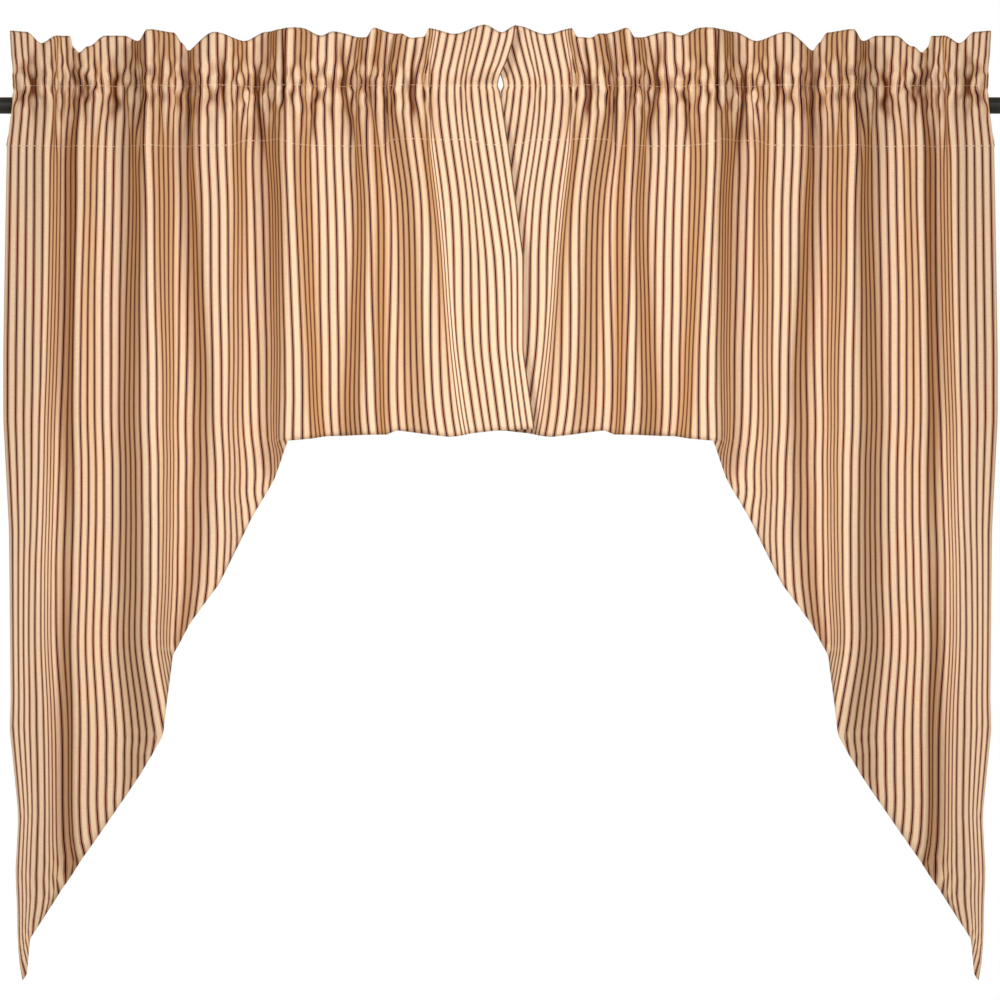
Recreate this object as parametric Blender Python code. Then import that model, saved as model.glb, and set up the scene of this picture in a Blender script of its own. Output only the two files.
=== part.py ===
"""A window swag: two gathered ticking panels that share one plain curtain rod.

The origin is the rod's axis at the middle of the window. +Z is up, +X runs along the rod to the
viewer's right, and the front of the cloth faces -Y. Lengths are in metres, and flat widths of the
cloth are counted in stripes, from a panel's outer edge to its inner one.
"""

import functools
import math
from collections import namedtuple

import bmesh
import bpy
import numpy as np

MM = 0.001

# The rod.
ROD_RADIUS = 8 * MM
ROD_LENGTH = 1040 * MM
ROD_SIDES = 24
ROD_END_BEVEL = 1 * MM
ROD_END_FACING = 0.9

# The cloth, flat.
STRIPE = 9 * MM
PANEL_STRIPES = 83.6
CORNER_STRIPE = 47.0
CLOTH_THICKNESS = 1.2 * MM
LAYER_OFFSET = 1.5 * MM

# Heights of the hung panel.
UPPER_STITCH = 18 * MM
CORNER_HEIGHT = -323.6 * MM

# The rod pocket: how far its two layers stand off the rod's axis where a fold touches the rod, half the
# depth of the folds, and the share of that depth that is left behind the rod. The cloth hangs straight
# down in front of the rod, so its middle plane is forward of the axis.
ROD_CLEARANCE = 0.35 * MM
POCKET_HALF_DEPTH = ROD_RADIUS + 0.5 * CLOTH_THICKNESS + ROD_CLEARANCE
FOLD_HALF_DEPTH = 9.5 * MM
POCKET_FOLD_SHARE = 0.45
HANG_FORWARD = POCKET_HALF_DEPTH + FOLD_HALF_DEPTH

# The lap at the middle: the left panel's inner edge stands this far forward, the right one's back.
LAP_OFFSET = 6 * MM
LAP_START = -64 * MM
LAP_FULL = -8 * MM
LAP_RISE = 16 * MM
LAP_FALL = 30 * MM
LAP_CALM_FROM = 68.0
LAP_CALM_TO = 73.0
LAP_CALM = 0.85

# Stripes over which the folds are averaged to find the plane that they hang in.
LEVEL_SPAN = 4.5
LEVEL_SPANS_READ = 3

# Where the cloth is sampled to work out its folds, the least yarn that sets the tail's scale, and the
# spacing of the solid's columns.
SAMPLE_STEP = 0.25
TAIL_LEAST_STRIPE = 0.5
COLUMN_GAP_MOST = 1.9
COLUMN_GAP_LEAST = 1.3

# Each flank between a crest and a trough. Its yarn, at the drift heights, and half its width are in
# stripes. Its angles, in degrees at the fold heights, are plus where the cloth runs back to the wall
# and minus where it comes forward.
DRIFT_HEIGHTS = (-90 * MM, -284 * MM, -575 * MM)
FOLD_HEIGHTS = (44 * MM, -14 * MM, -90 * MM, -188 * MM, -284 * MM, -430 * MM, -600 * MM, -760 * MM)
Fold = namedtuple("Fold", "stripe low_stripe tail_stripe reach header pocket heading upper middle low tail tip")
FOLDS = (
    Fold(1.1, 2.3, 1.9, 3.8, 41, 30, 20, 16, 19, 50, 54, 75),
    Fold(7.5, 7.3, 7.6, 3.8, 73, 80, 80, 80, 80, 73, 71, 72),
    Fold(10.5, 10.5, 10.5, 2.2, -68, -80, -80, -80, -66, -19, -80, -80),
    Fold(12.9, 13.5, 13.2, 2.8, 48, 47, 52, 49, 39, 33, 26, 6),
    Fold(20.4, 19.4, 19.5, 3.2, -80, -74, -65, -59, -55, -51, -37, -59),
    Fold(25.5, 26.2, 25.6, 3.8, 60, 60, 61, 66, 71, 80, 80, 80),
    Fold(30.7, 32.0, 29.4, 2.1, -74, -72, -67, -61, -49, -25, -80, -80),
    Fold(37.8, 36.9, 34.6, 3.1, 63, 65, 67, 64, 63, 49, 47, 47),
    Fold(44.6, 43.9, 42.9, 3.8, -78, -74, -76, -74, -73, -73, -73, -72),
    Fold(50.1, 50.7, 53.8, 2.8, 59, 54, 57, 66, 69, 60, 62, 63),
    Fold(58.9, 56.8, 55.9, 3.4, -74, -67, -66, -63, -59, -54, -54, -54),
    Fold(61.7, 62.0, 60.6, 2.0, 73, 80, 53, 57, 80, 80, 80, 80),
    Fold(65.7, 67.2, 65.3, 3.4, -55, -51, -51, -52, -43, -18, -22, -23),
    Fold(71.4, 73.6, 75.3, 3.1, 79, 80, 80, 75, 65, 67, 66, 65),
    Fold(77.8, 76.4, 77.5, 2.6, -51, -46, -47, -19, -33, -50, -49, -48),
    Fold(83.1, 81.7, 81.2, 3.3, 40, 30, 40, 50, 50, 22, 28, 30),
)

# Share of a flank's half width over which it stays at its full angle, and the steepest a flank stands.
FLANK_LEVEL = 0.3
STEEPEST = math.radians(70.0)

# The left panel's outer edge, as it hangs.
EdgePoint = namedtuple("EdgePoint", "height across")
OUTER_EDGE = (
    EdgePoint(72 * MM, -472 * MM),
    EdgePoint(18 * MM, -468 * MM),
    EdgePoint(-40 * MM, -475 * MM),
    EdgePoint(-236 * MM, -478 * MM),
    EdgePoint(-303 * MM, -478 * MM),
    EdgePoint(-410 * MM, -472.5 * MM),
    EdgePoint(-573 * MM, -471 * MM),
    EdgePoint(-600 * MM, -472 * MM),
    EdgePoint(-684 * MM, -463.5 * MM),
    EdgePoint(-739 * MM, -466.5 * MM),
    EdgePoint(-804 * MM, -463.5 * MM),
    EdgePoint(-842.5 * MM, -460 * MM),
)

# The yarn that ends at the hem's corner.
CORNER_YARN = (
    EdgePoint(75 * MM, -208.5 * MM),
    EdgePoint(-50.6 * MM, -209.5 * MM),
    EdgePoint(-90.2 * MM, -208.1 * MM),
    EdgePoint(-140.3 * MM, -206.4 * MM),
    EdgePoint(-187.6 * MM, -204.9 * MM),
    EdgePoint(-236.8 * MM, -203.1 * MM),
    EdgePoint(-284.1 * MM, -202.6 * MM),
    EdgePoint(-323.6 * MM, -204 * MM),
)

# The inner edge. It keeps to its own half of the rod and laps over below and above it.
INNER_EDGE = (
    EdgePoint(75 * MM, 15 * MM),
    EdgePoint(62 * MM, 13 * MM),
    EdgePoint(40 * MM, 6 * MM),
    EdgePoint(27 * MM, -0.5 * MM),
    EdgePoint(18 * MM, -5 * MM),
    EdgePoint(12 * MM, -0.8 * MM),
    EdgePoint(-42 * MM, -0.8 * MM),
    EdgePoint(-56 * MM, 10 * MM),
    EdgePoint(-80 * MM, 13.5 * MM),
    EdgePoint(-146 * MM, 22.5 * MM),
    EdgePoint(-237 * MM, 22.5 * MM),
    EdgePoint(-313 * MM, 33.5 * MM),
)

# The diagonal edge of the tail.
DIAGONAL_EDGE = (
    EdgePoint(-323.6 * MM, -204 * MM),
    EdgePoint(-358.5 * MM, -217 * MM),
    EdgePoint(-399 * MM, -240.5 * MM),
    EdgePoint(-461.5 * MM, -270.5 * MM),
    EdgePoint(-499 * MM, -298.5 * MM),
    EdgePoint(-530 * MM, -316 * MM),
    EdgePoint(-606 * MM, -323.5 * MM),
    EdgePoint(-644 * MM, -346 * MM),
    EdgePoint(-753 * MM, -421 * MM),
    EdgePoint(-803 * MM, -453 * MM),
    EdgePoint(-842.5 * MM, -456 * MM),
)

# The ruffled top of the header, seen from the front, with the height at which its yarns are found.
HEADER_LEVEL = 60 * MM
CrestPoint = namedtuple("CrestPoint", "across height")
HEADER_TOP = (
    CrestPoint(-472 * MM, 71 * MM),
    CrestPoint(-456 * MM, 70 * MM),
    CrestPoint(-442 * MM, 60 * MM),
    CrestPoint(-426 * MM, 67 * MM),
    CrestPoint(-415 * MM, 67 * MM),
    CrestPoint(-407 * MM, 50 * MM),
    CrestPoint(-381 * MM, 67 * MM),
    CrestPoint(-363 * MM, 67 * MM),
    CrestPoint(-348 * MM, 61 * MM),
    CrestPoint(-338 * MM, 71 * MM),
    CrestPoint(-315 * MM, 70 * MM),
    CrestPoint(-302 * MM, 53 * MM),
    CrestPoint(-275 * MM, 69 * MM),
    CrestPoint(-248 * MM, 62 * MM),
    CrestPoint(-226 * MM, 71 * MM),
    CrestPoint(-191 * MM, 73 * MM),
    CrestPoint(-173 * MM, 67 * MM),
    CrestPoint(-162 * MM, 71 * MM),
    CrestPoint(-129 * MM, 64 * MM),
    CrestPoint(-121 * MM, 73 * MM),
    CrestPoint(-97 * MM, 68 * MM),
    CrestPoint(-78 * MM, 63 * MM),
    CrestPoint(-68 * MM, 72 * MM),
    CrestPoint(-45 * MM, 68 * MM),
    CrestPoint(-18 * MM, 76 * MM),
    CrestPoint(0 * MM, 69 * MM),
    CrestPoint(14 * MM, 76 * MM),
)

# The lower stitch line, pulled up by the tightest gathers.
STITCH_LEVEL = -40 * MM
LOWER_STITCH = (
    CrestPoint(-475 * MM, -40 * MM),
    CrestPoint(-270 * MM, -40 * MM),
    CrestPoint(-235 * MM, -34 * MM),
    CrestPoint(-195 * MM, -38 * MM),
    CrestPoint(-115 * MM, -40 * MM),
    CrestPoint(-80 * MM, -34 * MM),
    CrestPoint(-20 * MM, -38 * MM),
    CrestPoint(10 * MM, -40 * MM),
)

# The lower edge, from the tail's tip up the diagonal to the corner and along the short straight hem,
# whose outer part hangs a little lower in front of a tuck.
HemPoint = namedtuple("HemPoint", "stripe height")
HEM = (
    HemPoint(0, -842.5 * MM),
    HemPoint(14.5, -702.7 * MM),
    HemPoint(21.5, -625.5 * MM),
    HemPoint(23.5, -575.4 * MM),
    HemPoint(30.5, -505.9 * MM),
    HemPoint(35.5, -440.3 * MM),
    HemPoint(39.5, -388.3 * MM),
    HemPoint(43.5, -349.7 * MM),
    HemPoint(47, -323.6 * MM),
    HemPoint(53, -319 * MM),
    HemPoint(63, -317.5 * MM),
    HemPoint(64.2, -313.5 * MM),
    HemPoint(70.8, -320 * MM),
    HemPoint(77.8, -314 * MM),
    HemPoint(83.6, -312 * MM),
)

# The rows of the sheet, from the raw edge at the back over the header's top to the hem. A heading
# row lies at a share of the way from the upper stitch to the header's top.
HeadingRow = namedtuple("HeadingRow", "share offset")
HEADING_ROWS = (
    HeadingRow(0.50, 1.0),
    HeadingRow(0.955, 1.0),
    HeadingRow(1.0, 0.62),
)

# A pocket row lies beside the rod or between it and a stitch line. Its spread is the share of the
# way that the layers have moved apart for the rod.
PocketRow = namedtuple("PocketRow", "height spread")
POCKET_ROWS = (
    PocketRow(7 * MM, 1.0),
    PocketRow(-8 * MM, 1.0),
)
POCKET_LOW_SHARE = 0.5
POCKET_LOW_SPREAD = 0.5

# Body rows, as shares of the way from the lower stitch to the hem, and the share by which the cloth has
# come back from the heading's front layer to the middle.
BODY_SHARES = (0.06, 0.15, 0.26, 0.38, 0.5, 0.62, 0.74, 0.86, 0.94, 1.0)
BODY_SETTLED = 0.26

# Colours, as linear red, green and blue.
TICKING_COLOUR = (0.66, 0.42, 0.26, 1.0)
ROD_COLOUR = (0.018, 0.019, 0.018, 1.0)


def clear_objects():
    """Remove whatever the scene holds."""
    for old in list(bpy.data.objects):
        bpy.data.objects.remove(old, do_unlink=True)


def smooth(share):
    """Ease a share from 0 to 1, held outside that range."""
    share = min(max(share, 0.0), 1.0)
    return share * share * (3.0 - 2.0 * share)


def across_at(edge, height):
    """Read an edge's place across at a height, from a table that runs downward."""
    heights = [-point.height for point in edge]
    places = [point.across for point in edge]
    return float(np.interp(-height, heights, places))


def height_at(line, across):
    """Read a line's height at a place across."""
    places = [point.across for point in line]
    heights = [point.height for point in line]
    return float(np.interp(across, places, heights))


def hem_height(stripe):
    """Height of the lower edge where a yarn ends."""
    stripes = [point.stripe for point in HEM]
    heights = [point.height for point in HEM]
    return float(np.interp(stripe, stripes, heights))


def hem_stripe(height):
    """The yarn that ends on the diagonal at a height."""
    diagonal = [point for point in HEM if point.stripe <= CORNER_STRIPE]
    stripes = [point.stripe for point in diagonal]
    heights = [point.height for point in diagonal]
    return float(np.interp(height, heights, stripes))


def fold_profile(stripes, centre, reach):
    """A flank's share of its full angle at each yarn, level over its middle."""
    away = np.abs(stripes - centre) / reach
    eased = np.clip((away - FLANK_LEVEL) / (1.0 - FLANK_LEVEL), 0.0, 1.0)
    return 0.5 * (1.0 + np.cos(math.pi * eased))


@functools.lru_cache(maxsize=None)
def fold_lines(height):
    """Work out how far each sampled yarn lies across and back, with the sheet not stretched."""
    count = int(PANEL_STRIPES / SAMPLE_STEP) + 1
    stripes = np.linspace(0.0, PANEL_STRIPES, count)
    angles = np.zeros(count)
    drifts = [-level for level in DRIFT_HEIGHTS]
    levels = [-level for level in FOLD_HEIGHTS]
    for fold in FOLDS:
        centre = float(np.interp(-height, drifts, fold[:3]))
        angle = float(np.interp(-height, levels, fold[4:]))
        angles += math.radians(angle) * fold_profile(stripes, centre, fold.reach)
    angles = np.clip(angles, -STEEPEST, STEEPEST)
    step = STRIPE * (stripes[1] - stripes[0])
    runs = np.cos(angles)
    backs = np.sin(angles)
    across = np.concatenate(([0.0], np.cumsum(0.5 * (runs[1:] + runs[:-1])) * step))
    back = np.concatenate(([0.0], np.cumsum(0.5 * (backs[1:] + backs[:-1])) * step))
    kept_angles = np.arctan2(backs * depth_kept(stripes), runs)
    return stripes, kept_angles, across, level_out(stripes, back)


def depth_kept(stripes):
    """Share of the folds' depth that is kept at each yarn: little of it at the lap."""
    calm_span = LAP_CALM_TO - LAP_CALM_FROM
    return np.array([1.0 - LAP_CALM * smooth((stripe - LAP_CALM_FROM) / calm_span) for stripe in stripes])


def level_out(stripes, back):
    """Take the slow drift out of the folds, so that the sheet hangs in one plane."""
    reach = int(LEVEL_SPANS_READ * LEVEL_SPAN / SAMPLE_STEP)
    spans = np.arange(-reach, reach + 1) * SAMPLE_STEP / LEVEL_SPAN
    weights = np.exp(-0.5 * spans**2)
    padded = np.pad(back, reach, mode="reflect", reflect_type="odd")
    drift = np.convolve(padded, weights / weights.sum(), "valid")
    return (back - drift) * depth_kept(stripes)


def place_across(stripe, height, stripes, across):
    """Fit the folded widths between the panel's edges at a height."""
    outer = across_at(OUTER_EDGE, height)
    here = np.interp(stripe, stripes, across)
    if height < CORNER_HEIGHT:
        edge_stripe = max(hem_stripe(height), TAIL_LEAST_STRIPE)
        edge = across_at(DIAGONAL_EDGE, height)
        return outer + here * (edge - outer) / np.interp(edge_stripe, stripes, across)
    corner_run = np.interp(CORNER_STRIPE, stripes, across)
    corner = across_at(CORNER_YARN, height)
    if stripe <= CORNER_STRIPE:
        return outer + here * (corner - outer) / corner_run
    inner = across_at(INNER_EDGE, height)
    return corner + (here - corner_run) * (inner - corner) / (across[-1] - corner_run)


def lap_share(across, height):
    """Share of the lap's offset at a place near the panel's inner edge."""
    nearness = smooth((across - LAP_START) / (LAP_FULL - LAP_START))
    if height > UPPER_STITCH:
        return nearness * smooth((height - UPPER_STITCH) / LAP_RISE)
    if height < -ROD_RADIUS:
        return nearness * smooth((-ROD_RADIUS - height) / LAP_FALL)
    return 0.0


def around_rod(back, layer):
    """How far a yarn moves to clear the rod: only the deepest folds in front, every yarn behind."""
    if layer < 0:
        return min(-POCKET_HALF_DEPTH - back, 0.0)
    behind_crest = max(back + HANG_FORWARD + FOLD_HALF_DEPTH, 0.0)
    return POCKET_HALF_DEPTH + POCKET_FOLD_SHARE * behind_crest - back


def sheet_point(stripe, height, layer, spread, lap):
    """Place a yarn of the left panel at a height.

    layer is minus one in front, plus one at the turned back, 0 where there is one layer alone.
    spread is how far the two layers have moved apart for the rod, and lap is the inner edge's side.
    """
    stripes, angles, widths, backs = fold_lines(height)
    angle = float(np.interp(stripe, stripes, angles))
    back = float(np.interp(stripe, stripes, backs)) - HANG_FORWARD
    across = place_across(stripe, height, stripes, widths)
    near = layer * LAYER_OFFSET
    limit = across_at(INNER_EDGE, height)
    across = min(across - near * math.sin(angle), limit) if height > CORNER_HEIGHT else across
    back += near * math.cos(angle) + lap * LAP_OFFSET * lap_share(across, height)
    back += spread * around_rod(back, layer) if spread else 0.0
    return across, back, height


def heading_height(stripe, share):
    """Height of a heading row at a yarn: a share of the way up to the ruffled top."""
    stripes, _, widths, _ = fold_lines(HEADER_LEVEL)
    top = height_at(HEADER_TOP, place_across(stripe, HEADER_LEVEL, stripes, widths))
    return UPPER_STITCH + share * (top - UPPER_STITCH)


def stitch_height(stripe):
    """Height of the lower stitch line at a yarn."""
    stripes, _, widths, _ = fold_lines(STITCH_LEVEL)
    return height_at(LOWER_STITCH, place_across(stripe, STITCH_LEVEL, stripes, widths))


def pocket_column(stripe, layer, lap):
    """The points of one layer of the pocket, from the upper stitch line down to the lower one."""
    low = stitch_height(stripe)
    points = [sheet_point(stripe, UPPER_STITCH, layer, 0.0, lap)]
    for row in POCKET_ROWS:
        points.append(sheet_point(stripe, row.height, layer, row.spread, lap))
    middle = POCKET_ROWS[-1].height + POCKET_LOW_SHARE * (low - POCKET_ROWS[-1].height)
    points.append(sheet_point(stripe, middle, layer, POCKET_LOW_SPREAD, lap))
    points.append(sheet_point(stripe, low, layer, 0.0, lap))
    return points


def header_column(stripe, layer, lap):
    """The points of one layer of the header, from above the upper stitch line to its top."""
    points = []
    for row in HEADING_ROWS:
        height = heading_height(stripe, row.share)
        points.append(sheet_point(stripe, height, layer * row.offset, 0.0, lap))
    return points


def body_column(stripe, lap):
    """The points of the single layer below the pocket, down to the hem."""
    top = stitch_height(stripe)
    low = hem_height(stripe)
    points = []
    for share in BODY_SHARES:
        layer = -smooth(1.0 - share / BODY_SETTLED)
        points.append(sheet_point(stripe, top + share * (low - top), layer, 0.0, lap))
    return points


def panel_column(stripe, lap):
    """One whole yarn: up the turned back, over the header's top and down the front to the hem."""
    column = list(reversed(pocket_column(stripe, 1.0, lap)))
    column += header_column(stripe, 1.0, lap)
    column += list(reversed(header_column(stripe, -1.0, lap)))
    column += pocket_column(stripe, -1.0, lap)
    column += body_column(stripe, lap)
    return column


def column_stripes():
    """Yarns that the solid's columns follow: both ends of each flank, and the wide spaces."""
    marks = {0.0, CORNER_STRIPE, PANEL_STRIPES}
    for fold in FOLDS:
        marks.add(fold.stripe - 0.5 * fold.reach)
        marks.add(fold.stripe + 0.5 * fold.reach)
    kept = [0.0]
    for mark in sorted(marks):
        gap = mark - kept[-1]
        if gap < COLUMN_GAP_LEAST:
            continue
        parts = math.ceil(gap / COLUMN_GAP_MOST)
        kept += [kept[-1] + gap * part / parts for part in range(1, parts + 1)]
    kept[-1] = PANEL_STRIPES
    return kept


def make_material(name, colour, roughness, metallic):
    """A Principled material with one colour."""
    material = bpy.data.materials.new(name)
    material.use_nodes = True
    shader = material.node_tree.nodes["Principled BSDF"]
    shader.inputs["Base Color"].default_value = colour
    shader.inputs["Roughness"].default_value = roughness
    shader.inputs["Metallic"].default_value = metallic
    return material


def add_object(name, mesh, material):
    """Put a mesh in the scene as an object of its own."""
    mesh.materials.append(material)
    thing = bpy.data.objects.new(name, mesh)
    bpy.context.scene.collection.objects.link(thing)
    return thing


def build_panel(name, side, lap):
    """Build a panel as one sheet of even thickness. side is 1 for the left panel, -1 for the right."""
    columns = [panel_column(stripe, lap) for stripe in column_stripes()]
    across_steps = len(columns) - 1
    down_steps = len(columns[0]) - 1
    shape = bmesh.new()
    bmesh.ops.create_grid(shape, x_segments=across_steps, y_segments=down_steps, size=1.0)
    for vertex in shape.verts:
        column = round(0.5 * (vertex.co.x + 1.0) * across_steps)
        row = round(0.5 * (1.0 - vertex.co.y) * down_steps)
        x, y, z = columns[column][row]
        vertex.co = (side * x, y, z)
    bmesh.ops.recalc_face_normals(shape, faces=shape.faces)
    for face in shape.faces:
        face.smooth = True
    mesh = bpy.data.meshes.new(name)
    shape.to_mesh(mesh)
    shape.free()
    panel = add_object(name, mesh, make_material(name + "_ticking", TICKING_COLOUR, 0.9, 0.0))
    cloth = panel.modifiers.new("cloth thickness", "SOLIDIFY")
    cloth.thickness = CLOTH_THICKNESS
    cloth.offset = 0.0
    return panel


def build_rod():
    """Build the plain round rod, with its sharp end edges taken off."""
    shape = bmesh.new()
    bmesh.ops.create_cone(
        shape, cap_ends=True, segments=ROD_SIDES, radius1=ROD_RADIUS, radius2=ROD_RADIUS, depth=ROD_LENGTH
    )
    rims = [edge for edge in shape.edges if abs(edge.verts[0].co.z - edge.verts[1].co.z) < ROD_END_BEVEL]
    bmesh.ops.bevel(
        shape, geom=rims, offset=ROD_END_BEVEL, segments=2, profile=0.5, affect="EDGES", material=-1
    )
    for vertex in shape.verts:
        vertex.co = (vertex.co.z, vertex.co.y, -vertex.co.x)
    shape.normal_update()
    for face in shape.faces:
        face.smooth = abs(face.normal.x) < ROD_END_FACING
    mesh = bpy.data.meshes.new("rod")
    shape.to_mesh(mesh)
    shape.free()
    return add_object("rod", mesh, make_material("rod_metal", ROD_COLOUR, 0.42, 0.6))


def build():
    """Build the rod and both panels."""
    clear_objects()
    build_rod()
    build_panel("panel_left", 1, -1)
    build_panel("panel_right", -1, 1)


build()
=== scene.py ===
"""Dress the window swag: two gathered ticking panels that share one plain curtain rod.

The frame's origin is on the rod's axis at the middle of the window, +Z is up, +X runs along the rod
to the viewer's right and the front of the cloth faces -Y. Lengths are in metres. Flat widths of the
cloth are counted in stripes of the ticking, from a panel's outer edge to its inner one.
"""

import logging
import math
from dataclasses import dataclass, field
from enum import Enum
from typing import NamedTuple, TypeVar

import bmesh
import bpy
import numpy as np
from bmesh.types import BMesh
from bpy.types import Material, Node, NodeSocket, NodeTree, Object
from mathutils import Matrix, Vector
from numpy import ndarray

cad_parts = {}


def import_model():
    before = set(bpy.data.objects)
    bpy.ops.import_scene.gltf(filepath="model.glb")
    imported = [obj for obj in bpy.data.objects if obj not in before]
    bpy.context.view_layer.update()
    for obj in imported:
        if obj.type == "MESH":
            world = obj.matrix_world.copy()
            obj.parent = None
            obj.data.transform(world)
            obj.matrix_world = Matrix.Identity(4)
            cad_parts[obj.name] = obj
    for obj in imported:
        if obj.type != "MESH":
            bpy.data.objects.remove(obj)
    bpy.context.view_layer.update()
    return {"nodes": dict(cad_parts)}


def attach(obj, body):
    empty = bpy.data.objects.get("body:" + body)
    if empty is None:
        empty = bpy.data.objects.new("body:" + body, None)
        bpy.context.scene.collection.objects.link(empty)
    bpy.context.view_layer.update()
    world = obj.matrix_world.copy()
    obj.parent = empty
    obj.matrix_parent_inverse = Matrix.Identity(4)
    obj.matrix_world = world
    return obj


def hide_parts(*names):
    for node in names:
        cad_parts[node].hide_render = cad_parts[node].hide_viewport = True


MM = 0.001
Place = tuple[float, float, float]
# A bell curve is cut off at this many of its widths from its middle.
BELL_REACH = 3
BLEND = {"data_type": "RGBA"}
MULTIPLY = {"data_type": "RGBA", "blend_type": "MULTIPLY"}
# Taken off a lattice's length, this keeps a place inside the last cell.
PAST_LAST_CELL = 1.001
LOG = logging.getLogger("window_swag")


class Side(Enum):
    """The half of the window that a panel hangs in."""

    LEFT = 1.0
    RIGHT = -1.0

    @property
    def label(self) -> str:
        """Name of the side in lower case."""
        return self.name.lower()

    @property
    def lap(self) -> float:
        """Side of the lap: the left panel's inner edge stands forward, the right one's back."""
        return -self.value


class Layer(Enum):
    """The two layers of the heading, where the top of the cloth is turned to the back."""

    FRONT = -1.0
    BACK = 1.0


class Fold(NamedTuple):
    """A flank between a crest and a trough: its yarn at three heights, and its degrees at eight."""

    stripe: float
    low_stripe: float
    tail_stripe: float
    reach: float
    header: float
    pocket: float
    heading: float
    upper: float
    middle: float
    low: float
    tail: float
    tip: float


class Pucker(NamedTuple):
    """A ridge or a trough that the gathering threads pull into the cloth. Heights are in mm."""

    stripe: float
    width: float
    forward: float
    above: float
    below: float
    lean: float


class EdgePoint(NamedTuple):
    """A place on an edge that runs downward, in mm."""

    height: float
    across: float


class CrestPoint(NamedTuple):
    """A place on a line that runs across, in mm."""

    across: float
    height: float


class HemPoint(NamedTuple):
    """The height in mm at which a yarn ends in the hem."""

    stripe: float
    height: float


Row = TypeVar("Row", bound=tuple)


def table(kind: type[Row], *rows: tuple[float, ...]) -> tuple[Row, ...]:
    """Make a table of one kind of row from plain numbers."""
    return tuple(kind(*row) for row in rows)


# Each flank's slope is plus where the cloth runs back to the wall and minus where it comes forward.
FOLDS = table(
    Fold,
    (1.1, 2.3, 1.9, 3.8, 41, 30, 20, 16, 19, 50, 54, 75),
    (7.5, 7.3, 7.6, 3.8, 73, 80, 80, 80, 80, 73, 71, 72),
    (10.5, 10.5, 10.5, 2.2, -68, -80, -80, -80, -66, -19, -80, -80),
    (12.9, 13.5, 13.2, 2.8, 48, 47, 52, 49, 39, 33, 26, 6),
    (20.4, 19.4, 19.5, 3.2, -80, -74, -65, -59, -55, -51, -37, -59),
    (25.5, 26.2, 25.6, 3.8, 60, 60, 61, 66, 71, 80, 80, 80),
    (30.7, 32.0, 29.4, 2.1, -74, -72, -67, -61, -49, -25, -80, -80),
    (37.8, 36.9, 34.6, 3.1, 63, 65, 67, 64, 63, 49, 47, 47),
    (44.6, 43.9, 42.9, 3.8, -78, -74, -76, -74, -73, -73, -73, -72),
    (50.1, 50.7, 53.8, 2.8, 59, 54, 57, 66, 69, 60, 62, 63),
    (58.9, 56.8, 55.9, 3.4, -74, -67, -66, -63, -59, -54, -54, -54),
    (61.7, 62.0, 60.6, 2.0, 73, 80, 53, 57, 80, 80, 80, 80),
    (65.7, 67.2, 65.3, 3.4, -55, -51, -51, -52, -43, -18, -22, -23),
    (71.4, 73.6, 75.3, 3.1, 79, 80, 80, 75, 65, 67, 66, 65),
    (77.8, 76.4, 77.5, 2.6, -51, -46, -47, -19, -33, -50, -49, -48),
    (83.1, 81.7, 81.2, 3.3, 40, 30, 40, 50, 50, 22, 28, 30),
)

# The ridges and troughs along the upper row of gathering stitches.
PUCKERS = table(
    Pucker,
    (2.9, 0.8, -2.2, 26, 12, 0.010), (4.8, 0.7, 2.6, 10, 34, 0.012),
    (7.6, 0.5, -3.6, 24, 38, -0.006), (9.2, 0.6, 2.8, 8, 30, 0.004),
    (12.0, 0.8, -2.4, 14, 26, 0.014), (14.5, 0.6, 2.4, 6, 40, -0.010),
    (16.4, 0.6, -2.6, 20, 22, 0.006), (18.3, 0.7, 2.8, 8, 34, 0.016),
    (20.3, 0.5, -3.2, 16, 44, 0.020), (22.9, 0.8, 2.2, 10, 26, -0.008),
    (25.3, 0.5, -3.0, 30, 30, 0.012), (28.2, 0.7, 2.6, 8, 24, 0.010),
    (29.8, 0.5, -4.2, 18, 50, 0.002), (32.7, 0.8, 2.4, 12, 30, -0.010),
    (35.4, 0.6, -2.2, 26, 20, 0.008), (38.4, 0.7, 2.4, 8, 36, 0.014),
    (41.0, 0.6, -4.0, 14, 50, 0.012), (43.0, 0.6, 2.6, 10, 26, -0.012),
    (46.8, 0.5, -3.8, 46, 16, 0.004), (49.6, 0.9, 2.6, 8, 34, 0.006),
    (52.7, 0.5, -2.8, 12, 40, -0.016), (54.5, 0.7, 2.2, 14, 28, 0.012),
    (56.0, 0.6, -3.0, 34, 46, 0.020), (59.9, 0.7, 2.6, 8, 30, -0.010),
    (61.8, 0.6, -2.8, 12, 36, 0.016), (63.1, 0.6, 3.0, 10, 36, 0.004),
    (64.2, 0.5, -4.6, 44, 40, -0.004), (66.4, 0.8, 2.4, 10, 26, 0.006),
    (68.7, 0.5, -3.2, 34, 20, 0.002), (70.2, 0.6, 2.6, 8, 40, 0.010),
    (73.2, 0.5, -3.6, 12, 44, 0.014), (75.3, 0.7, 2.0, 16, 30, -0.006),
    (77.7, 0.5, -2.4, 20, 26, 0.006), (79.5, 0.6, 1.6, 10, 24, 0.010),
)

OUTER_EDGE = table(
    EdgePoint,
    (72, -472), (18, -468), (-40, -475), (-236, -478), (-303, -478), (-410, -472.5), (-573, -471),
    (-600, -472), (-684, -463.5), (-739, -466.5), (-804, -463.5), (-842.5, -460),
)

CORNER_YARN = table(
    EdgePoint,
    (75, -208.5), (-50.6, -209.5), (-90.2, -208.1), (-140.3, -206.4), (-187.6, -204.9),
    (-236.8, -203.1), (-284.1, -202.6), (-323.6, -204),
)

INNER_EDGE = table(
    EdgePoint,
    (75, 15), (62, 13), (40, 6), (27, -0.5), (18, -2.6), (12, 0.2), (-42, 8.4), (-80, 13.5),
    (-146, 22.5), (-237, 22.5), (-313, 33.5),
)

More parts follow.
